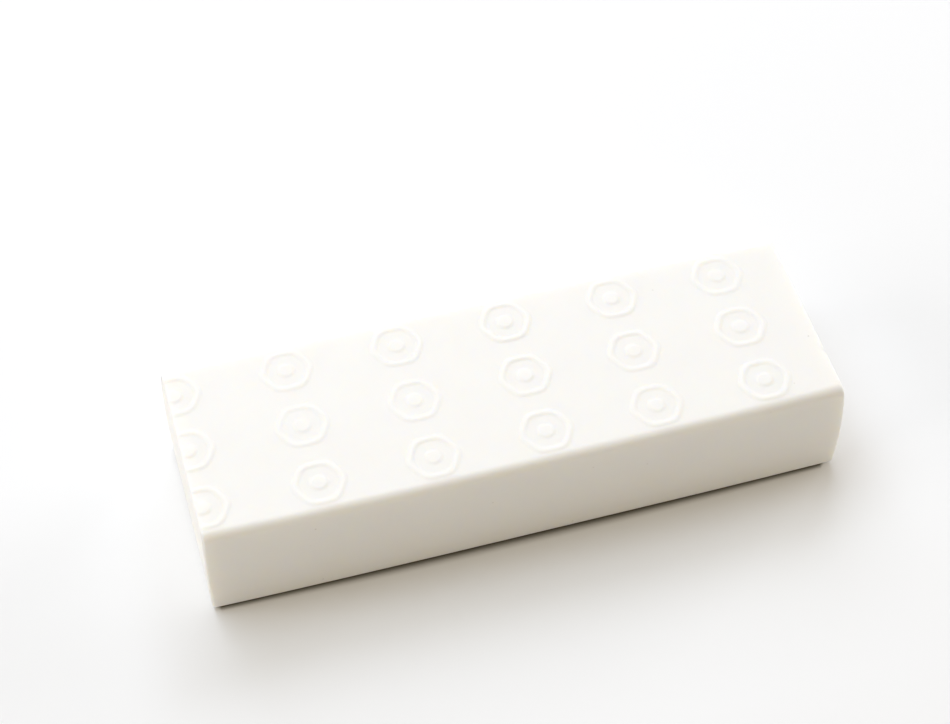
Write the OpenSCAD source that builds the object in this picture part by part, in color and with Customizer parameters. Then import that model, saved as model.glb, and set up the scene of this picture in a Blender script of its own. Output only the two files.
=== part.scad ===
// Vinyl eraser block: one solid bar of soft plastic, cut to length from a longer embossed strip.
//
// The origin is at the middle of the base. X runs along the block, Y from its front long side
// to its back one, and Z up. The strip's long edges are rounded by its forming, and the two
// ends bulge a little because the soft strip was squeezed while a blade cut it.

/* [Block] */
// Length between the outermost points of the two ends
block_length = 65; // [40:0.5:100]
// Width from the front side to the back side
block_width = 21.6; // [14:0.1:40]
// Height of the top face, without its raised marks
block_height = 12.4; // [8:0.1:25]

/* [Edges] */
// Radius of the two long edges of the top
top_edge_radius = 1; // [0.3:0.05:2]
// Radius of the two long edges of the base
base_edge_radius = 0.8; // [0.2:0.05:1]
// Radius of the upper and lower edge of each end
end_edge_radius = 0.25; // [0.1:0.05:0.8]
// Radius of the four upright corners
corner_radius = 0.3; // [0.1:0.05:0.8]

/* [Ends] */
// How far the left end's outermost point lies past its upper edge
left_bulge = 0.18; // [0.05:0.01:1]
// How far the right end's outermost point lies past its upper edge
right_bulge = 0.5; // [0.05:0.01:1]
// How far below half height the outermost point of both ends lies
bulge_drop = 0.6; // [0:0.1:1.5]

/* [Marks] */
// Size of a mark's six-sided ring across its flats
mark_flats = 5; // [3:0.1:6]
// Width of the ring's raised line
mark_line = 0.5; // [0.3:0.05:0.8]
// How far the ring's six points are trimmed back to an arc
mark_point_trim = 0.22; // [0.1:0.01:0.35]
// Diameter of the dot in the middle of a mark
mark_dot = 1.6; // [0.6:0.1:1.8]
// How far the marks stand above the top face
mark_relief = 0.1; // [0.05:0.01:0.4]
// Distance from one mark to the next along the block
mark_pitch_x = 11.3; // [8:0.1:20]
// Distance from one row of marks to the next across the block
mark_pitch_y = 7.1; // [6.5:0.1:20]
// Where the middle column of marks lies along the block
mark_shift_x = 2.3; // [-5:0.1:5]
// Where the middle row of marks lies across the block
mark_shift_y = 0; // [-3:0.1:3]
// Plain strip left between a cut mark and the edge's rounding
mark_margin = 0.1; // [0.05:0.05:0.5]

/* [Hidden] */

// Steps in a full circle
$fn = 96;

// How deep a mark's own solid reaches into the block that it is part of
mark_root = 0.4;

// How far a cutting shape runs past what it cuts
clear = 1;

// How far the top and the base lie above and below the ends' outermost points
top_rise = block_height / 2 + bulge_drop;
base_rise = block_height / 2 - bulge_drop;

// Radius of an end's arc, which bulges by a given amount past the block's upper edge
function bulge_radius(bulge) = (pow(top_rise, 2) + pow(bulge, 2)) / (2 * bulge);

// Distance along X from that arc's centre to where an end edge's rounding meets the flat
// face that lies a given rise from the centre
function flat_reach(bulge, rise) =
    sqrt(pow(bulge_radius(bulge) - end_edge_radius, 2) - pow(rise - end_edge_radius, 2));

// Distance along X from an end's outermost point back to the start of the flat top face
function flat_inset(bulge) = bulge_radius(bulge) - flat_reach(bulge, top_rise);

half_length = block_length / 2;
half_width = block_width / 2;

// The flat part of the top face, where marks can stand
face_left = -half_length + flat_inset(left_bulge) + mark_margin;
face_right = half_length - flat_inset(right_bulge) - mark_margin;
face_depth = block_width - 2 * (top_edge_radius + mark_margin);

// Steps of the mark pattern that are enough to cover the face on each side of its middle
columns_each_side = ceil((half_length + abs(mark_shift_x)) / mark_pitch_x);
rows_each_side = ceil((half_width + abs(mark_shift_y)) / mark_pitch_y);

// A mark's outer and inner corner radius, as six-sided figures
ring_outer = mark_flats / 2 / cos(30);
ring_inner = (mark_flats / 2 - mark_line) / cos(30);

eraser_white = "#FBF9F4";

// The strip's own outline, seen along the block
module strip_section() {
    top_y = half_width - top_edge_radius;
    top_z = block_height - top_edge_radius;
    base_y = half_width - base_edge_radius;
    polygon([
        [-base_y, 0], [base_y, 0],
        [half_width, base_edge_radius], [half_width, top_z],
        [top_y, block_height], [-top_y, block_height],
        [-half_width, top_z], [-half_width, base_edge_radius],
    ]);
    for (side = [-1, 1]) {
        translate([side * top_y, top_z]) circle(r = top_edge_radius);
        translate([side * base_y, base_edge_radius]) circle(r = base_edge_radius);
    }
}

// The strip before it is cut to length
module strip() {
    rotate([90, 0, 90])
        linear_extrude(height = block_length + 2 * clear, center = true) strip_section();
}

// The quarter of an end's outline that rounds its upper edge, or its lower one when mirrored.
// It starts at the bulge's centre height, is tangent to the flat face and to the bulge, and
// runs clear of the strip everywhere but along its arc.
module edge_outline(bulge, rise) {
    radius = bulge_radius(bulge);
    arc_x = half_length - radius + flat_reach(bulge, rise);
    arc_z = rise - end_edge_radius;
    // The arc's last point, where it runs into the bulge
    lean = end_edge_radius / (radius - end_edge_radius);
    rim_x = arc_x + flat_reach(bulge, rise) * lean;
    rim_z = arc_z + arc_z * lean;
    polygon([
        [0, 0], [half_length + clear, 0], [half_length + clear, arc_z], [rim_x, rim_z],
        [arc_x, rise], [arc_x - clear, rise + clear], [0, rise + clear],
    ]);
    translate([arc_x, arc_z]) circle(r = end_edge_radius);
}

// One side's outline in X and Z, with both edges of its end
module end_outline(bulge) {
    translate([0, base_rise]) {
        edge_outline(bulge, top_rise);
        mirror([0, 1]) edge_outline(bulge, base_rise);
    }
}

// A disc lying on its rim. The rim is one bulging end, with its upright corners rounded;
// behind the corners the disc is thicker than the strip.
module bulge_disc(bulge) {
    radius = bulge_radius(bulge);
    rim_r = radius - corner_radius;
    rim_y = half_width - corner_radius;
    translate([half_length - radius, 0, base_rise])
        rotate([90, 0, 0])
            rotate_extrude() {
                polygon([
                    [0, -half_width - clear], [rim_r - clear, -half_width - clear],
                    [rim_r, -half_width], [radius, -rim_y],
                    [radius, rim_y], [rim_r, half_width],
                    [rim_r - clear, half_width + clear], [0, half_width + clear],
                ]);
                for (side = [-1, 1]) {
                    translate([rim_r, side * rim_y]) circle(r = corner_radius);
                }
            }
}

// The strip on one side of its middle, with that side's cut end
module block_half(bulge) {
    intersection() {
        strip();
        bulge_disc(bulge);
        rotate([90, 0, 0])
            linear_extrude(height = block_width + 4 * clear, center = true) end_outline(bulge);
    }
}

// The block without its marks
module plain_block() {
    block_half(right_bulge);
    mirror([1, 0, 0]) block_half(left_bulge);
}

// One mark: a six-sided ring with trimmed points and a dot, like a pencil seen end on
module mark() {
    difference() {
        intersection() {
            circle(r = ring_outer, $fn = 6);
            circle(r = ring_outer - mark_point_trim);
        }
        intersection() {
            circle(r = ring_inner, $fn = 6);
            circle(r = ring_inner - mark_point_trim);
        }
    }
    circle(d = mark_dot);
}

// The rows and columns of marks, cut off where the flat face ends
module mark_pattern() {
    intersection() {
        translate([face_left, -face_depth / 2]) square([face_right - face_left, face_depth]);
        for (column = [-columns_each_side : columns_each_side]) {
            for (row = [-rows_each_side : rows_each_side]) {
                translate([
                    mark_shift_x + column * mark_pitch_x,
                    mark_shift_y + row * mark_pitch_y,
                ])
                    mark();
            }
        }
    }
}

// The marks, each with its root in the block
module raised_marks() {
    translate([0, 0, block_height - mark_root])
        linear_extrude(height = mark_root + mark_relief) mark_pattern();
}

// The finished eraser: block and marks are one piece
module eraser_block() {
    color(eraser_white)
        union() {
            plain_block();
            raised_marks();
        }
}

eraser_block();
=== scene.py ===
"""Vinyl eraser block: the looks of one bar of soft white vinyl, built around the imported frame.

The bar is embossed on top with a grid of raised marks and cut to length with a blade. Sizes in
the classes are millimetres in the frame's own axes: X along the block, Y from its front long
side to its back one, Z up, and the origin at the middle of the base. A mesh is turned into
metres as it is made.
"""

import logging
import math
from dataclasses import dataclass, field
from enum import Enum
from typing import ClassVar

import bpy
import numpy as np
from mathutils import Euler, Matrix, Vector

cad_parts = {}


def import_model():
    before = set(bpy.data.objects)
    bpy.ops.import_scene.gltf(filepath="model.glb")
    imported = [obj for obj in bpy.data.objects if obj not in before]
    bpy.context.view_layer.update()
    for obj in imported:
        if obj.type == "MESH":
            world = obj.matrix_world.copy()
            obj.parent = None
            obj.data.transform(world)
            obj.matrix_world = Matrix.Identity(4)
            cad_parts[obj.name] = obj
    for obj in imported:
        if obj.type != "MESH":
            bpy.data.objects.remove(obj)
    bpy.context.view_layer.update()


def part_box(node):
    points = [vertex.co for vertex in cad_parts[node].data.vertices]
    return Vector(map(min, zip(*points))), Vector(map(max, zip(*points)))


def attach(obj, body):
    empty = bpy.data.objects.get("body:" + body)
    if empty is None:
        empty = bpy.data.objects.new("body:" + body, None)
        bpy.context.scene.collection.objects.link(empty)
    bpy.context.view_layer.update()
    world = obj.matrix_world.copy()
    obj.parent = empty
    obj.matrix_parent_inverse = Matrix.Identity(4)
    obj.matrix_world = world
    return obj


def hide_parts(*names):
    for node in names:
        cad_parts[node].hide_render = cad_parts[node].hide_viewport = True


MM = 0.001
CURVE_SAMPLES = 8000
BLOCK_NODE = "eraser_block"
ROOT_BODY = "root"
CUT_ATTRIBUTE = "cut_face"

log = logging.getLogger("eraser")


# ---------------------------------------------------------------------------------------------
# Small tools for shapes
# ---------------------------------------------------------------------------------------------


def smoothstep(t: np.ndarray) -> np.ndarray:
    """Eases from 0 to 1 as t goes from 0 to 1, by 3 t^2 - 2 t^3, and stays flat outside.

    Args:
        t: Any array.

    Returns:
        An array of the same shape.
    """
    t = np.clip(t, 0.0, 1.0)
    return t * t * (3.0 - 2.0 * t)


def soft_max(a: np.ndarray, b: np.ndarray, blend: float) -> np.ndarray:
    """The larger of two distances, with the crease between them rounded.

    Where the two differ by less than blend, (blend - |a - b|)^2 / (4 blend) is added.

    Args:
        a: First distance.
        b: Second distance.
        blend: Width of the rounded crease.

    Returns:
        The blended distance.
    """
    overlap = np.maximum(blend - np.abs(a - b), 0.0)
    return np.maximum(a, b) + overlap**2 / (4.0 * blend)


@dataclass(frozen=True)
class Swell:
    """A slow random-looking rise and fall, the mean of a few slanted sine waves.

    The depth and the length of the longest wave are in millimetres, except where the depth is
    a share. The seed tells one swell from another.
    """

    depth: float
    length: float
    seed: float
    waves: ClassVar[int] = 4
    first_slant: ClassVar[float] = 23.0
    slant_step: ClassVar[float] = 71.0
    slant_seed: ClassVar[float] = 40.0
    height_slant: ClassVar[float] = 1.7
    shortening: ClassVar[float] = 0.57
    phase_step: ClassVar[float] = 1.3
    phase_seed: ClassVar[float] = 5.1

    def at(self, x: np.ndarray, y: np.ndarray, z: np.ndarray) -> np.ndarray:
        """How deep the swell is at each point, from 0 to its depth.

        Each wave is sin(2 pi p / w + phase), where p is a slanted mix of the coordinates and
        its wavelength w is the length divided by 1, 1.57 and so on.

        Args:
            x: X of each point.
            y: Y of each point.
            z: Z of each point.

        Returns:
            One value a point.
        """
        total = np.zeros(np.broadcast(x, y, z).shape)
        for step in range(self.waves):
            slant = math.radians(
                self.first_slant + self.slant_step * step + self.slant_seed * self.seed
            )
            place = math.cos(slant) * x + math.sin(slant) * y
            place = place + math.sin(self.height_slant * slant) * z
            wavelength = self.length / (1.0 + self.shortening * step)
            phase = self.phase_seed * self.seed + self.phase_step * step
            total = total + np.sin(2.0 * math.pi * place / wavelength + phase)
        return self.depth * (0.5 + total / (2 * self.waves))


@dataclass(frozen=True)
class Spacing:
    """How far apart grid lines are, inside the crowded spans and between them."""

    fine: float
    coarse: float


def graded_lines(
    start: float, stop: float, spans: list[tuple[float, float]], spacing: Spacing
) -> np.ndarray:
    """Grid lines that crowd together inside some spans and spread out between them.

    The spacing at a place is fine inside a span and eases to coarse over one coarse step
    outside it. Lines are put where the running sum of 1 / spacing reaches whole shares.

    Args:
        start: First line.
        stop: Last line.
        spans: (low, high) of each crowded span.
        spacing: How far apart the lines are.

    Returns:
        The lines' places, in rising order.
    """
    place = np.linspace(start, stop, CURVE_SAMPLES + 1)
    outside = np.full(place.shape, np.inf)
    for low, high in spans:
        outside = np.minimum(outside, np.maximum(low - place, place - high))
    ease = smoothstep(outside / spacing.coarse)
    density = 1.0 / (spacing.fine + (spacing.coarse - spacing.fine) * ease)
    share = np.concatenate([[0.0], np.cumsum(density[1:] + density[:-1])])
    count = math.ceil((stop - start) / CURVE_SAMPLES * share[-1] / 2.0)
    return np.interp(np.linspace(0.0, share[-1], count + 1), share, place)


def straight_rows(
    y: np.ndarray | float, z: np.ndarray | float, out: tuple[float, float]
) -> np.ndarray:
    """Points along a straight side of a section.

    Args:
        y: Y of each point, or of all.
        z: Z of each point, or of all.
        out: Outward Y, Z of the side.

    Returns:
        Rows of Y, Z and the outward Y, Z.
    """
    y, z = np.broadcast_arrays(y, z)
    return np.stack([y, z, np.full(y.shape, out[0]), np.full(y.shape, out[1])], axis=1)


def arc_rows(y: float, z: float, radius: float, first: float, steps: int) -> np.ndarray:
    """Points between the ends of a clockwise quarter turn: centre + radius (cos a, sin a).

    Args:
        y: Y of the arc's centre.
        z: Z of the arc's centre.
        radius: The arc's radius.
        first: Angle of its first end, in degrees.
        steps: Parts that the arc is cut into.

    Returns:
        Rows of Y, Z and the outward Y, Z.
    """
    angle = np.radians(first - 90.0 * np.arange(1, steps) / steps)
    out = np.stack([np.cos(angle), np.sin(angle)], axis=1)
    return np.concatenate([np.array([y, z]) + radius * out, out], axis=1)


def zip_loops(
    outer: np.ndarray, inner: np.ndarray, outer_turn: np.ndarray, inner_turn: np.ndarray
) -> np.ndarray:
    """Triangles that join two closed loops with different numbers of points.

    Both loops run the same way round. Every edge of either loop becomes one triangle, whose
    third corner is the point that the other loop has reached by that edge's middle.

    Args:
        outer: Vertex numbers of the first loop.
        inner: Vertex numbers of the second loop.
        outer_turn: How far round each point of the first loop lies, rising from 0 to below 1.
        inner_turn: The same for the second loop.

    Returns:
        One row of three vertex numbers a triangle.
    """
    outer_mid = (outer_turn + np.append(outer_turn[1:], outer_turn[0] + 1.0)) / 2.0
    inner_mid = (inner_turn + np.append(inner_turn[1:], inner_turn[0] + 1.0)) / 2.0
    reached_inner = np.searchsorted(inner_mid, outer_mid) % len(inner)
    reached_outer = np.searchsorted(outer_mid, inner_mid, side="right") % len(outer)
    from_outer = np.stack([outer, np.roll(outer, -1), inner[reached_inner]], axis=1)
    from_inner = np.stack([np.roll(inner, -1), inner, outer[reached_outer]], axis=1)
    return np.concatenate([from_outer, from_inner])


def make_mesh(
    name: str, points: np.ndarray, quads: np.ndarray, triangles: np.ndarray
) -> bpy.types.Mesh:
    """Puts whole arrays into a smooth-shaded mesh, turning millimetres into metres.

    Args:
        name: The mesh's name.
        points: One row of X, Y, Z a vertex, in millimetres.
        quads: One row of four vertex numbers a face.
        triangles: One row of three vertex numbers a face.

    Returns:
        The new mesh.
    """
    mesh = bpy.data.meshes.new(name)
    corners = np.concatenate([quads.ravel(), triangles.ravel()]).astype(np.int32)
    starts = np.concatenate(
        [4 * np.arange(len(quads)), 4 * len(quads) + 3 * np.arange(len(triangles))]
    ).astype(np.int32)
    mesh.vertices.add(len(points))
    mesh.vertices.foreach_set("co", (points * MM).astype(np.float32).ravel())
    mesh.loops.add(len(corners))
    mesh.loops.foreach_set("vertex_index", corners)
    mesh.polygons.add(len(starts))
    mesh.polygons.foreach_set("loop_start", starts)
    mesh.update(calc_edges=True)
    mesh.validate()
    mesh.shade_smooth()
    return mesh


# ---------------------------------------------------------------------------------------------
# Small tools for materials
# ---------------------------------------------------------------------------------------------


def calculate(
    tree: bpy.types.NodeTree, operation: str, *values: bpy.types.NodeSocket | float
) -> bpy.types.NodeSocket:
    """Adds a Math node to a material.

    Args:
        tree: The material's nodes.
        operation: The node's own name for what it works out.
        values: A number or another node's output for each input.

    Returns:
        The node's result.
    """
    node = tree.nodes.new("ShaderNodeMath")
    node.operation = operation
    for socket, value in zip(node.inputs, values):
        if isinstance(value, float):
            socket.default_value = value
        else:
            tree.links.new(value, socket)
    return node.outputs["Value"]


def map_range(
    tree: bpy.types.NodeTree,
    value: bpy.types.NodeSocket,
    source: tuple[float, float] = (0.0, 1.0),
    target: tuple[float, float] = (0.0, 1.0),
    eased: bool = False,
) -> bpy.types.NodeSocket:
    """Adds a Map Range node, which stays within its target range.

    Args:
        tree: The material's nodes.
        value: What is mapped.
        source: Where the values start and stop.
        target: What the start and the stop become.
        eased: True for a change that starts and stops gently.

    Returns:
        The mapped value.
    """
    node = tree.nodes.new("ShaderNodeMapRange")
    node.interpolation_type = "SMOOTHSTEP" if eased else "LINEAR"
    node.inputs["From Min"].default_value, node.inputs["From Max"].default_value = source
    node.inputs["To Min"].default_value, node.inputs["To Max"].default_value = target
    tree.links.new(value, node.inputs["Value"])
    return node.outputs["Result"]


def mix_colours(
    tree: bpy.types.NodeTree,
    factor: bpy.types.NodeSocket,
    first: bpy.types.NodeSocket | tuple[float, float, float],
    second: tuple[float, float, float],
) -> bpy.types.NodeSocket:
    """Adds a Mix node that goes from one colour to another.

    Args:
        tree: The material's nodes.
        factor: 0 where the first colour shows and 1 where the second does.
        first: A colour, or another node's output.
        second: A colour.

    Returns:
        The mixed colour.
    """
    mix = tree.nodes.new("ShaderNodeMix")
    mix.data_type = "RGBA"
    if isinstance(first, tuple):
        mix.inputs["A"].default_value = (*first, 1.0)
    else:
        tree.links.new(first, mix.inputs["A"])
    mix.inputs["B"].default_value = (*second, 1.0)
    tree.links.new(factor, mix.inputs["Factor"])
    return mix.outputs["Result"]


def noise_pattern(
    tree: bpy.types.NodeTree,
    place: bpy.types.NodeSocket,
    size: tuple[float, float, float],
    detail: float,
) -> bpy.types.NodeSocket:
    """Adds a noise pattern whose features have a given size along each axis.

    Args:
        tree: The material's nodes.
        place: Object coordinates, in metres.
        size: Feature size along X, Y and Z, in millimetres.
        detail: Number of finer layers.

    Returns:
        The pattern's value, from 0 to 1.
    """
    scale = tree.nodes.new("ShaderNodeMapping")
    scale.inputs["Scale"].default_value = [1.0 / (MM * s) for s in size]
    noise = tree.nodes.new("ShaderNodeTexNoise")
    noise.inputs["Scale"].default_value = 1.0
    noise.inputs["Detail"].default_value = detail
    tree.links.new(place, scale.inputs["Vector"])
    tree.links.new(scale.outputs["Vector"], noise.inputs["Vector"])
    return noise.outputs["Fac"]


# ---------------------------------------------------------------------------------------------
# The embossing
# ---------------------------------------------------------------------------------------------


@dataclass(frozen=True)
class Mark:
    """One raised mark: a six-sided ring with blunted points and a dot in its middle."""

    flats: float = 5.0
    line: float = 0.5
    point_trim: float = 0.22
    dot: float = 1.6
    relief: float = 0.1
    shoulder: float = 0.32
    softening: float = 0.25

    @property
    def reach_x(self) -> float:
        """How far the ring's trimmed points reach from its middle along X."""
        return self.flats / 2 / math.cos(math.radians(30)) - self.point_trim

    def six_sided(self, x: np.ndarray, y: np.ndarray, flats: float) -> np.ndarray:
        """Distance outside a six-sided figure with points on the X axis and blunted corners.

        It is the soft maximum of |y| - f and sin 60 |x| + |y| / 2 - f, where f is half the
        size across the flats, and of the distance to the circle that trims the points.

        Args:
            x: X from the figure's middle.
            y: Y from the figure's middle.
            flats: Size across the flats.

        Returns:
            The distance, negative inside.
        """
        half = flats / 2
        slanted = math.sin(math.radians(60)) * np.abs(x) + np.abs(y) / 2 - half
        sides = soft_max(np.abs(y) - half, slanted, self.softening)
        trim = half / math.cos(math.radians(30)) - self.point_trim
        return soft_max(sides, np.hypot(x, y) - trim, self.softening)

    def height(self, x: np.ndarray, y: np.ndarray) -> np.ndarray:
        """How far the mark stands up at a point, rising over its soft shoulder.

        The distance outside the raised area is the smaller of the ring's, which is the larger
        of outer and minus inner, and the dot's. The height is the relief times an eased step
        across the shoulder.

        Args:
            x: X from the mark's middle.
            y: Y from the mark's middle.

        Returns:
            The height, from 0 to the relief.
        """
        outer = self.six_sided(x, y, self.flats)
        inner = self.six_sided(x, y, self.flats - 2 * self.line)
        ring = np.maximum(outer, -inner)
        outside = np.minimum(ring, np.hypot(x, y) - self.dot / 2)
        return self.relief * smoothstep(0.5 - outside / self.shoulder)


@dataclass(frozen=True)
class MarkPattern:
    """The straight grid of marks that the embossing roller leaves on the top face."""

    mark: Mark = Mark()
    pitch_x: float = 11.3
    pitch_y: float = 7.1
    shift_x: float = 2.3
    shift_y: float = 0.0
    wear: Swell = Swell(depth=0.5, length=37.0, seed=0.6)

    def height(self, x: np.ndarray, y: np.ndarray) -> np.ndarray:
        """Height of the embossing over the top face, a little lower here and there.

        Each point is measured from the nearest mark's middle, which is where the remainder
        of its place by the pitch is zero. The wear's swell is the share of height that is
        worn off.

        Args:
            x: X of each point.
            y: Y of each point.

        Returns:
            The height at each point.
        """
        local_x = np.mod(x - self.shift_x + self.pitch_x / 2, self.pitch_x) - self.pitch_x / 2
        local_y = np.mod(y - self.shift_y + self.pitch_y / 2, self.pitch_y) - self.pitch_y / 2
        left = 1.0 - self.wear.at(x, y, np.zeros_like(x))
        return left * self.mark.height(local_x, local_y)

    def spans(self, low: float, high: float, along_x: bool) -> list[tuple[float, float]]:
        """The stretches of one axis that marks cover.

        Args:
            low: Where the face starts.
            high: Where the face ends.
            along_x: True for the columns along X, False for the rows along Y.

        Returns:
            (low, high) of each column or row that touches the face.
        """
        pitch, shift = (self.pitch_x, self.shift_x) if along_x else (self.pitch_y, self.shift_y)
        reach = (self.mark.reach_x if along_x else self.mark.flats / 2) + self.mark.shoulder
        first = math.ceil((low - reach - shift) / pitch)
        last = math.floor((high + reach - shift) / pitch)
        centres = [shift + pitch * step for step in range(first, last + 1)]
        return [(centre - reach, centre + reach) for centre in centres]


# ---------------------------------------------------------------------------------------------
# The vinyl
# ---------------------------------------------------------------------------------------------


@dataclass(frozen=True)
class BumpLayer:
    """One layer of fine relief, by its features' size along X, Y and Z and their height."""

    size: tuple[float, float, float]
    height: float
    detail: float = 2.0
    on_cuts_only: bool = False


@dataclass(frozen=True)
class SoftVinyl:
    """The finish of soft white vinyl: matt, warm, faintly translucent, with a fine grain.

    The sides carry faint lines along the strip, and the cut ends carry the blade's own lines,
    which the attribute cut_face switches on. Sizes and heights are in millimetres.
    """

    pale: tuple[float, float, float] = (0.878, 0.866, 0.832)
    warm: tuple[float, float, float] = (0.86, 0.843, 0.803)
    cloud_size: tuple[float, float, float] = (9.0, 9.0, 6.0)
    cloud_detail: float = 3.0
    dust: tuple[float, float, float] = (0.62, 0.59, 0.53)
    speck_spacing: float = 2.6
    speck_size: float = 0.13
    speck_core: float = 0.4
    speck_rarity: float = 0.55
    roughness: float = 0.5
    roughness_spread: float = 0.06
    patch_size: tuple[float, float, float] = (3.0, 3.0, 3.0)
    patch_detail: float = 2.0
    refraction: float = 1.48
    translucency: float = 1.0
    glow_colour: tuple[float, float, float] = (1.0, 0.9, 0.7)
    glow_depth: float = 1.1
    grain: BumpLayer = BumpLayer((0.07, 0.07, 0.07), 0.0022)
    dimples: BumpLayer = BumpLayer((0.6, 0.6, 0.6), 0.004)
    strip_lines: BumpLayer = BumpLayer((14.0, 0.5, 0.5), 0.003)
    cut_lines: BumpLayer = BumpLayer((0.6, 0.42, 8.0), 0.035, detail=4.0, on_cuts_only=True)

    def dress(self, piece: bpy.types.Object) -> None:
        """Makes the material and gives it to a piece."""
        material = bpy.data.materials.new("soft_white_vinyl")
        material.use_nodes = True
        tree = material.node_tree
        shader = tree.nodes["Principled BSDF"]
        place = tree.nodes.new("ShaderNodeTexCoord").outputs["Object"]
        self._colour(tree, shader, place)
        self._glow(shader)
        self._sheen(tree, shader, place)
        self._relief(tree, shader, place)
        piece.data.materials.clear()
        piece.data.materials.append(material)

    def _colour(
        self, tree: bpy.types.NodeTree, shader: bpy.types.Node, place: bpy.types.NodeSocket
    ) -> None:
        """Mixes two near whites by a slow noise, and the dust's colour by its specks."""
        clouds = noise_pattern(tree, place, self.cloud_size, self.cloud_detail)
        colour = mix_colours(tree, clouds, self.pale, self.warm)
        colour = mix_colours(tree, self._specks(tree, place), colour, self.dust)
        tree.links.new(colour, shader.inputs["Base Color"])

    def _specks(
        self, tree: bpy.types.NodeTree, place: bpy.types.NodeSocket
    ) -> bpy.types.NodeSocket:
        """Marks the few tiny specks of dust that stick to the vinyl.

        Space is cut into cells with one point each. A speck is where the distance to that
        point is small, and only the cells whose own random value is high have one.

        Args:
            tree: The material's nodes.
            place: Object coordinates, in metres.

        Returns:
            1 in a speck's middle and 0 away from specks.
        """
        cells = tree.nodes.new("ShaderNodeTexVoronoi")
        cells.inputs["Scale"].default_value = 1.0 / (self.speck_spacing * MM)
        tree.links.new(place, cells.inputs["Vector"])
        reach = self.speck_size / self.speck_spacing
        near = map_range(tree, cells.outputs["Distance"], (reach, self.speck_core * reach))
        chosen = map_range(tree, cells.outputs["Color"], (self.speck_rarity, 1.0))
        return calculate(tree, "MULTIPLY", near, chosen)

    def _glow(self, shader: bpy.types.Node) -> None:
        """Lets light pass a little way through the vinyl, red furthest."""
        shader.inputs["Subsurface Weight"].default_value = self.translucency
        shader.inputs["Subsurface Radius"].default_value = self.glow_colour
        shader.inputs["Subsurface Scale"].default_value = self.glow_depth * MM

    def _sheen(
        self, tree: bpy.types.NodeTree, shader: bpy.types.Node, place: bpy.types.NodeSocket
    ) -> None:
        """Varies the roughness a little from patch to patch."""
        patches = noise_pattern(tree, place, self.patch_size, self.patch_detail)
        spread = (self.roughness - self.roughness_spread, self.roughness + self.roughness_spread)
        roughness = map_range(tree, patches, target=spread)
        tree.links.new(roughness, shader.inputs["Roughness"])
        shader.inputs["IOR"].default_value = self.refraction

    def _relief(
        self, tree: bpy.types.NodeTree, shader: bpy.types.Node, place: bpy.types.NodeSocket
    ) -> None:
        """Chains the layers of fine relief, each a noise pattern times its height."""
        cut = tree.nodes.new("ShaderNodeAttribute")
        cut.attribute_name = CUT_ATTRIBUTE
        normal = None
        for layer in (self.grain, self.dimples, self.strip_lines, self.cut_lines):
            bump = tree.nodes.new("ShaderNodeBump")
            bump.inputs["Distance"].default_value = layer.height * MM
            height = noise_pattern(tree, place, layer.size, layer.detail)
            tree.links.new(height, bump.inputs["Height"])
            if layer.on_cuts_only:
                tree.links.new(cut.outputs["Fac"], bump.inputs["Strength"])
            if normal is not None:
                tree.links.new(normal, bump.inputs["Normal"])
            normal = bump.outputs["Normal"]
        tree.links.new(normal, shader.inputs["Normal"])


# ---------------------------------------------------------------------------------------------
# The block
# ---------------------------------------------------------------------------------------------


class Side(Enum):
    """The two ends of the block, by the sign of their X."""

    LEFT = -1
    RIGHT = 1


@dataclass(frozen=True)
class CutEnd:
    """How the blade left one end: its bulge, and its chatter over the face."""

    bulge: float
    chatter: Swell


@dataclass(frozen=True)
class Nick:
    """A small dent in the upper edge of an end, at a given Y."""

    y: float
    size: float
    depth: float


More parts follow.
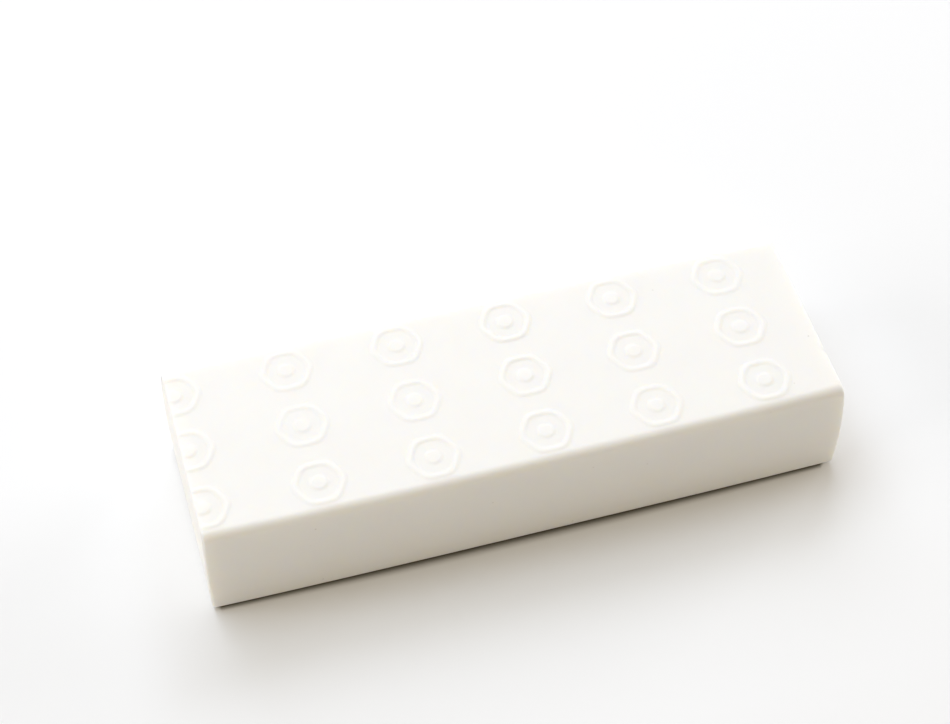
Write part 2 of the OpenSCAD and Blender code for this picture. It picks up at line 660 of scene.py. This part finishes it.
@dataclass
class EraserBlock:
    """The whole eraser: rounded strip, two bulging cut ends and the embossed top.

    Steps count the parts that an edge's arc is cut into, and spacings and spans set where the
    mesh is fine.
    """

    length: float
    width: float
    height: float
    top_edge: float = 1.0
    top_steps: int = 9
    base_edge: float = 0.8
    base_steps: int = 6
    end_edge: float = 0.27
    end_steps: int = 6
    ends: dict[Side, CutEnd] = field(
        default_factory=lambda: {
            Side.LEFT: CutEnd(bulge=0.18, chatter=Swell(0.05, 5.0, -0.1)),
            Side.RIGHT: CutEnd(bulge=0.5, chatter=Swell(0.05, 5.0, 1.9)),
        }
    )
    bulge_drop: float = 0.6
    bulge_lead: float = 4.0
    chatter_stretch: float = 0.12
    chatter_fade: float = 1.0
    taper_top: float = 0.34
    taper_base: float = 0.18
    base_lift: float = 0.16
    lift_reach: float = 2.5
    long_swell: Swell = Swell(0.05, 46.0, 0.2)
    short_swell: Swell = Swell(0.02, 9.0, 1.4)
    swell_rise: float = 1.5
    pattern: MarkPattern = MarkPattern()
    top_spacing: Spacing = Spacing(0.12, 0.6)
    base_spacing: Spacing = Spacing(0.25, 2.0)
    side_spacing: Spacing = Spacing(0.15, 1.1)
    side_span: float = 0.3
    end_span: float = 0.5
    cap_cells_y: int = 60
    cap_cells_z: int = 36
    cap_inset: float = 0.3
    nicks: tuple[Nick, ...] = (
        Nick(y=-5.1, size=0.34, depth=0.13),
        Nick(y=-2.2, size=0.26, depth=0.09),
        Nick(y=0.3, size=0.3, depth=0.08),
        Nick(y=6.4, size=0.28, depth=0.07),
    )

    @classmethod
    def from_frame(cls) -> "EraserBlock":
        """Takes the block's length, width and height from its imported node."""
        low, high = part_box(BLOCK_NODE)
        size = (high - low) / MM
        return cls(size.x, size.y, size.z - Mark().relief)

    def section(self) -> tuple[np.ndarray, np.ndarray]:
        """The strip's outline, as points and outward directions round the block.

        It runs over the top from front to back, down the back, along the base to the front
        and up the front. The base lifts towards its long edges by an eased step.

        Returns:
            Points as rows of Y, Z, and their outward directions as rows of Y, Z.
        """
        half = self.width / 2
        top_y = half - self.top_edge
        top_z = self.height - self.top_edge
        base_y = half - self.base_edge
        base_z = self.base_lift + self.base_edge
        rows_of_marks = self.pattern.spans(-top_y, top_y, along_x=False)
        over = graded_lines(-top_y, top_y, rows_of_marks, self.top_spacing)
        raised = [(-base_y, self.lift_reach - base_y), (base_y - self.lift_reach, base_y)]
        under = graded_lines(-base_y, base_y, raised, self.base_spacing)
        lift = self.base_lift * smoothstep((np.abs(under) - base_y) / self.lift_reach + 1.0)
        edges = [(0.0, base_z + self.side_span), (top_z - self.side_span, self.height)]
        up = graded_lines(base_z, top_z, edges, self.side_spacing)
        rows = np.concatenate(
            [
                straight_rows(over, self.height, (0.0, 1.0)),
                arc_rows(top_y, top_z, self.top_edge, 90.0, self.top_steps),
                straight_rows(half, up[::-1], (1.0, 0.0)),
                arc_rows(base_y, base_z, self.base_edge, 0.0, self.base_steps),
                straight_rows(under[::-1], lift[::-1], (0.0, -1.0)),
                arc_rows(-base_y, base_z, self.base_edge, 270.0, self.base_steps),
                straight_rows(-half, up, (-1.0, 0.0)),
                arc_rows(-top_y, top_z, self.top_edge, 180.0, self.top_steps),
            ]
        )
        return rows[:, :2], rows[:, 2:]

    def sag(self, z: np.ndarray, side: Side) -> np.ndarray:
        """How far an end lies behind its outermost point at a height.

        The end is an arc of radius R = (t^2 + b^2) / 2b, where b is its bulge and t the rise
        from its outermost point to the top, so it lies R - sqrt(R^2 - rise^2) behind.

        Args:
            z: Height of each point.
            side: Which end.

        Returns:
            The distance at each height.
        """
        bulge = self.ends[side].bulge
        top_rise = self.height / 2 + self.bulge_drop
        radius = (top_rise**2 + bulge**2) / (2 * bulge)
        rise = z - (self.height - top_rise)
        return radius - np.sqrt(radius**2 - rise**2)

    def skin(self) -> tuple[np.ndarray, np.ndarray]:
        """The strip's skin as rings of points along X, rounded in towards both ends.

        A ring at angle a of an end's rounding is the section drawn in by r (1 - cos a) and
        moved out by r sin a. Rings near an end follow its bulge more and more, by an eased
        step, and points that face up carry the marks.

        Returns:
            Points by ring and place round the section, and the same grid of 0 to 1 values
            that say how far a point belongs to a cut end.
        """
        outline, out = self.section()
        start = self.length / 2 - self.end_edge
        crowd = self.pattern.spans(-start, start, along_x=True)
        crowd += [(-start, self.end_span - start), (start - self.end_span, start)]
        body = graded_lines(-start, start, crowd, self.top_spacing)
        turn = np.radians(90.0) * np.arange(1, self.end_steps + 1) / self.end_steps
        angle = np.concatenate([-turn[::-1], np.zeros(len(body)), turn])
        along = np.concatenate([np.full(len(turn), -start), body, np.full(len(turn), start)])
        inset = self.end_edge * (1.0 - np.cos(angle))
        y = outline[None, :, 0] - inset[:, None] * out[None, :, 0]
        z = outline[None, :, 1] - inset[:, None] * out[None, :, 1]
        x = np.broadcast_to((along + self.end_edge * np.sin(angle))[:, None], y.shape)
        follow = smoothstep((np.abs(along) - start) / self.bulge_lead + 1.0)[:, None]
        x = x - np.where(
            along[:, None] > 0, follow * self.sag(z, Side.RIGHT), -follow * self.sag(z, Side.LEFT)
        )
        facing_up = np.cos(angle)[:, None] * np.maximum(out[None, :, 1], 0.0)
        z = z + facing_up**2 * self.pattern.height(x, y)
        y = y * (1.0 - self.taper(x, z) / (self.width / 2))
        points = np.stack([x, y, z], axis=2)
        points = self.settle(points, np.cos(angle)[:, None, None] * out[None, :, :])
        cut = np.broadcast_to(np.abs(np.sin(angle))[:, None], y.shape)
        return self.dent(points), cut

    def taper(self, x: np.ndarray, z: np.ndarray) -> np.ndarray:
        """How far each long side draws in at a point, because the strip was squeezed there.

        It is the depth at the end times |2 x / length|^3, and the depth at the end goes
        evenly from the base's value to the top's.

        Args:
            x: X of each point.
            z: Height of each point.

        Returns:
            The distance, in millimetres.
        """
        depth = self.taper_base + (self.taper_top - self.taper_base) * z / self.height
        return depth * np.abs(2.0 * x / self.length) ** 3

    def settle(self, points: np.ndarray, out: np.ndarray) -> np.ndarray:
        """Lets the sides swell and sink by hundredths of a millimetre, inwards only.

        The depth is a long swell plus a short one, and it fades to nothing at the base, which
        lies flat.

        Args:
            points: Points by ring and place.
            out: Outward Y, Z of each point.

        Returns:
            The moved points.
        """
        x, y, z = np.moveaxis(points, 2, 0)
        depth = self.long_swell.at(x, y, z) + self.short_swell.at(x, y, z)
        depth = depth * smoothstep(z / self.swell_rise)
        moved = points.copy()
        moved[:, :, 1:] -= depth[:, :, None] * out
        return moved

    def dent(self, points: np.ndarray) -> np.ndarray:
        """Presses the nicks into the right end's upper edge.

        A point at distance d from a nick's middle sinks by depth exp(-(d / size)^2), half way
        between down and back.

        Args:
            points: Points by ring and place.

        Returns:
            The moved points.
        """
        moved = points.copy()
        edge_x = self.length / 2 - self.ends[Side.RIGHT].bulge
        for nick in self.nicks:
            centre = np.array([edge_x, nick.y, self.height])
            distance = np.linalg.norm(points - centre, axis=-1)
            sink = nick.depth * np.exp(-((distance / nick.size) ** 2)) * math.sqrt(0.5)
            moved[..., 0] -= sink
            moved[..., 2] -= sink
        return moved

    def cap(self, side: Side) -> np.ndarray:
        """The inside of an end's face as a grid of points on its bulge.

        The grid fills a rectangle a little inside the end's rounded edges. The blade's
        chatter, long up and down and short from side to side, moves it inwards and fades
        towards the rectangle's rim.

        Args:
            side: Which end.

        Returns:
            Points by column along Y and row along Z.
        """
        inset = self.end_edge + self.cap_inset
        half_y, half_z = self.width / 2 - inset, self.height / 2 - inset
        y = np.linspace(-half_y, half_y, self.cap_cells_y + 1)[:, None]
        z = np.linspace(inset, self.height - inset, self.cap_cells_z + 1)[None, :]
        rim = np.minimum(half_y - np.abs(y), half_z - np.abs(z - self.height / 2))
        chatter = self.ends[side].chatter.at(y, self.chatter_stretch * z, np.zeros_like(z))
        x = self.length / 2 - self.sag(z, side) - smoothstep(rim / self.chatter_fade) * chatter
        y, z = np.broadcast_arrays(y, z)
        y = y * (1.0 - self.taper(x, z) / (self.width / 2))
        return np.stack([side.value * x, y, z], axis=2)

    def mesh(self) -> bpy.types.Mesh:
        """Joins the skin and both caps into one closed mesh.

        Returns:
            The mesh, with an attribute on its points that says which belong to a cut end.
        """
        skin, cut = self.skin()
        rings, around = skin.shape[:2]
        number = np.arange(rings * around).reshape(rings, around)
        after = np.roll(number, -1, axis=1)
        quads = [np.stack([number[:-1], after[:-1], after[1:], number[1:]], axis=2).reshape(-1, 4)]
        points = [skin.reshape(-1, 3)]
        values = [cut.ravel()]
        triangles = []
        count = rings * around
        for side, ring in ((Side.LEFT, number[0]), (Side.RIGHT, number[-1])):
            grid = self.cap(side)
            own = count + np.arange(grid.shape[0] * grid.shape[1]).reshape(grid.shape[:2])
            count += own.size
            cells = np.stack([own[:-1, :-1], own[:-1, 1:], own[1:, 1:], own[1:, :-1]], axis=2)
            rim = np.concatenate([own[:-1, -1], own[-1, :0:-1], own[:0:-1, 0], own[0, :-1]])
            cells = cells.reshape(-1, 4)
            points.append(grid.reshape(-1, 3))
            values.append(np.ones(own.size))
            joined = self.join(ring, rim, np.concatenate(points))
            flip = side is Side.RIGHT
            quads.append(cells[:, ::-1] if flip else cells)
            triangles.append(joined[:, ::-1] if flip else joined)
        mesh = make_mesh(
            BLOCK_NODE, np.concatenate(points), np.concatenate(quads), np.concatenate(triangles)
        )
        attribute = mesh.attributes.new(CUT_ATTRIBUTE, "FLOAT", "POINT")
        attribute.data.foreach_set("value", np.concatenate(values).astype(np.float32))
        return mesh

    def join(self, ring: np.ndarray, rim: np.ndarray, points: np.ndarray) -> np.ndarray:
        """Zips an end's last ring to the rim of its cap, by the angle round the end's middle.

        Args:
            ring: Vertex numbers of the ring.
            rim: Vertex numbers of the cap's rim, the same way round.
            points: Every point so far.

        Returns:
            The triangles between the two loops.
        """

        def turn(loop: np.ndarray) -> np.ndarray:
            """Share of a full clockwise turn from straight up, with Y scaled to the height."""
            y = points[loop, 1] / self.width
            z = (points[loop, 2] - self.height / 2) / self.height
            return np.mod(np.arctan2(y, z) / (2 * math.pi), 1.0)

        def from_start(loop: np.ndarray) -> np.ndarray:
            """The loop, rolled so that its turn rises from its first point."""
            return np.roll(loop, -int(np.argmin(turn(loop))))

        ring, rim = from_start(ring), from_start(rim)
        return zip_loops(ring, rim, turn(ring), turn(rim))

    def build(self) -> bpy.types.Object:
        """Makes the block's piece, dresses it and puts it in place of its CAD node."""
        piece = bpy.data.objects.new("embossed_block", self.mesh())
        bpy.context.scene.collection.objects.link(piece)
        SoftVinyl().dress(piece)
        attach(piece, ROOT_BODY)
        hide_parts(BLOCK_NODE)
        return piece


# ---------------------------------------------------------------------------------------------
# The table, the light and the camera
# ---------------------------------------------------------------------------------------------


@dataclass(frozen=True)
class TableFinishAndShade:
    """The table's matt white, with painted shade that darkens it in the gap under the block's
    rounded long edges, standing in for the contact shadow there.

    The painted shade runs along both long sides, and the insets say how far inside the block's
    outline it starts. Sizes are in millimetres.
    """

    block_length: float
    block_width: float
    colour: tuple[float, float, float] = (0.88, 0.88, 0.875)
    roughness: float = 0.7
    gloss: float = 0.2
    # The near-black colour of the painted shade in the gap under the block.
    painted_gap_shade: tuple[float, float, float] = (0.05, 0.03, 0.0)
    left_inset: float = 0.9
    right_inset: float = 1.5
    side_inset: float = 0.77
    gap_reach: float = 1.55
    end_fade: float = 0.8
    narrowing: float = 0.85
    narrowing_power: float = 3.0

    def dress(self, sheet: bpy.types.Object) -> None:
        """Makes the material and gives it to the table top."""
        material = bpy.data.materials.new("white_table_with_painted_shade")
        material.use_nodes = True
        tree = material.node_tree
        shader = tree.nodes["Principled BSDF"]
        shader.inputs["Roughness"].default_value = self.roughness
        shader.inputs["Specular IOR Level"].default_value = self.gloss
        # Painted shade: within gap_reach of the block's long edges the table's colour darkens
        # towards a warm near-black, standing in for the contact shadow in the gap.
        reach = (0.0, self.gap_reach * MM)
        clear = map_range(tree, self._distance(tree), reach, eased=True)
        colour = mix_colours(tree, clear, self.painted_gap_shade, self.colour)
        tree.links.new(colour, shader.inputs["Base Color"])
        sheet.data.materials.append(material)

    def _distance(self, tree: bpy.types.NodeTree) -> bpy.types.NodeSocket:
        """Works out how far a point of the table lies from the gap, which sets the painted shade.

        Beside the gap it is max(|y| - side, 0) times 1 + narrowing |x / half|^3, because the
        painted shade is narrower towards its ends, and half is half its length. Past an end it
        grows faster, so that it reaches the painted shade's whole reach within end_fade.

        Args:
            tree: The material's nodes.

        Returns:
            The distance, in metres.
        """
        left = self.left_inset - self.block_length / 2
        right = self.block_length / 2 - self.right_inset
        half, middle = (right - left) / 2 * MM, (right + left) / 2 * MM
        side = (self.block_width / 2 - self.side_inset) * MM
        place = tree.nodes.new("ShaderNodeTexCoord").outputs["Object"]
        axes = tree.nodes.new("ShaderNodeSeparateXYZ")
        tree.links.new(place, axes.inputs["Vector"])
        x, y = axes.outputs["X"], axes.outputs["Y"]
        beside = calculate(tree, "SUBTRACT", calculate(tree, "ABSOLUTE", y), side)
        beside = calculate(tree, "MAXIMUM", beside, 0.0)
        share = calculate(tree, "DIVIDE", calculate(tree, "ABSOLUTE", x), half)
        share = calculate(tree, "POWER", share, self.narrowing_power)
        narrow = calculate(tree, "MULTIPLY_ADD", share, self.narrowing, 1.0)
        past = calculate(tree, "ABSOLUTE", calculate(tree, "SUBTRACT", x, middle))
        past = calculate(tree, "MAXIMUM", calculate(tree, "SUBTRACT", past, half), 0.0)
        past = calculate(tree, "MULTIPLY", past, self.gap_reach / self.end_fade)
        return calculate(tree, "MULTIPLY_ADD", beside, narrow, past)


@dataclass(frozen=True)
class Table:
    """The plain table top that the block lies on, a wide round sheet."""

    # The table's own white and the painted shade in the gap under the block.
    finish_and_shade: TableFinishAndShade
    radius: float = 3000.0
    spokes: int = 96

    def build(self) -> bpy.types.Object:
        """Makes the sheet as a fan of triangles round its middle, and stages it."""
        turn = 2.0 * math.pi * np.arange(self.spokes) / self.spokes
        rim = np.stack([np.cos(turn), np.sin(turn), np.zeros_like(turn)], axis=1) * self.radius
        points = np.concatenate([[[0.0, 0.0, 0.0]], rim])
        spoke = 1 + np.arange(self.spokes)
        fan = np.stack([np.zeros(self.spokes, int), spoke, np.roll(spoke, -1)], axis=1)
        mesh = make_mesh("table_top", points, np.zeros((0, 4), int), fan)
        sheet = bpy.data.objects.new("table_top", mesh)
        bpy.context.scene.collection.objects.link(sheet)
        self.finish_and_shade.dress(sheet)
        return sheet


@dataclass(frozen=True)
class Softbox:
    """A square soft light that points at the block."""

    name: str
    azimuth: float
    elevation: float
    watts: float
    colour: tuple[float, float, float]
    size: float = 550.0
    distance: float = 900.0

    def build(self) -> bpy.types.Object:
        """Makes the light. Azimuth 0 is behind the block, and turns towards its right end."""
        light = bpy.data.lights.new(self.name, "AREA")
        light.shape = "SQUARE"
        light.size = self.size * MM
        light.energy = self.watts
        light.color = self.colour
        lamp = bpy.data.objects.new(self.name, light)
        bpy.context.scene.collection.objects.link(lamp)
        turn, rise = math.radians(self.azimuth), math.radians(self.elevation)
        away = Vector(
            (math.sin(turn) * math.cos(rise), math.cos(turn) * math.cos(rise), math.sin(rise))
        )
        lamp.location = away * self.distance * MM
        lamp.rotation_euler = away.to_track_quat("Z", "Y").to_euler()
        lamp.visible_camera = False
        return lamp


@dataclass(frozen=True)
class StudioLight:
    """Four big soft lights and a smaller one, and a warm pale room all round."""

    lamps: tuple[Softbox, ...] = (
        Softbox("back_light", 0.0, 45.0, 2.822, (0.809, 0.868, 1.0)),
        Softbox("right_back_light", 30.0, 45.0, 0.997, (0.791, 0.872, 1.0), size=230.0),
        Softbox("left_back_light", -50.0, 65.0, 3.57, (0.772, 0.866, 1.0)),
        Softbox("low_left_light", -90.0, 20.0, 2.366, (1.0, 0.981, 0.979)),
        Softbox("low_right_light", 70.0, 10.0, 4.268, (0.923, 0.946, 1.0)),
    )
    room: tuple[float, float, float] = (1.0, 0.856, 0.632)
    room_strength: float = 0.394

    def build(self) -> None:
        """Makes the lamps and the room's glow, and shows colours as they are."""
        for lamp in self.lamps:
            lamp.build()
        world = bpy.data.worlds.new("pale_room")
        world.use_nodes = True
        glow = world.node_tree.nodes["Background"]
        glow.inputs["Color"].default_value = (*self.room, 1.0)
        glow.inputs["Strength"].default_value = self.room_strength
        scene = bpy.context.scene
        scene.world = world
        scene.view_settings.view_transform = "Standard"


@dataclass(frozen=True)
class ProductCamera:
    """The camera, which looks down on the block from the front and a little from its left."""

    azimuth: float = -15.92
    elevation: float = 51.64
    distance: float = 225.3
    aim: tuple[float, float, float] = (-0.67, 7.65, 6.17)
    lens: float = 82.95
    sensor: float = 36.0
    nearest: float = 10.0
    furthest: float = 10000.0

    def build(self) -> bpy.types.Object:
        """Makes the camera and sets it as the scene's own."""
        data = bpy.data.cameras.new("product_camera")
        data.lens = self.lens
        data.sensor_width = self.sensor
        data.clip_start = self.nearest * MM
        data.clip_end = self.furthest * MM
        camera = bpy.data.objects.new("product_camera", data)
        bpy.context.scene.collection.objects.link(camera)
        tilt = math.radians(90.0 - self.elevation)
        camera.rotation_euler = Euler((tilt, 0.0, math.radians(self.azimuth)))
        back = camera.rotation_euler.to_matrix() @ Vector((0.0, 0.0, 1.0))
        camera.location = (Vector(self.aim) + back * self.distance) * MM
        bpy.context.scene.camera = camera
        return camera


def main() -> None:
    """Loads the frame, makes the block, and stages it."""
    logging.basicConfig(level=logging.INFO, format="%(message)s")
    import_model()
    block = EraserBlock.from_frame()
    piece = block.build()
    log.info("%s: %d faces", piece.name, len(piece.data.polygons))
    sheet = Table(TableFinishAndShade(block.length, block.width)).build()
    log.info("%s: staged", sheet.name)
    studio = StudioLight()
    studio.build()
    log.info("lights: %d", len(studio.lamps))
    camera = ProductCamera().build()
    log.info("%s: set", camera.name)


if __name__ == "__main__":
    main()
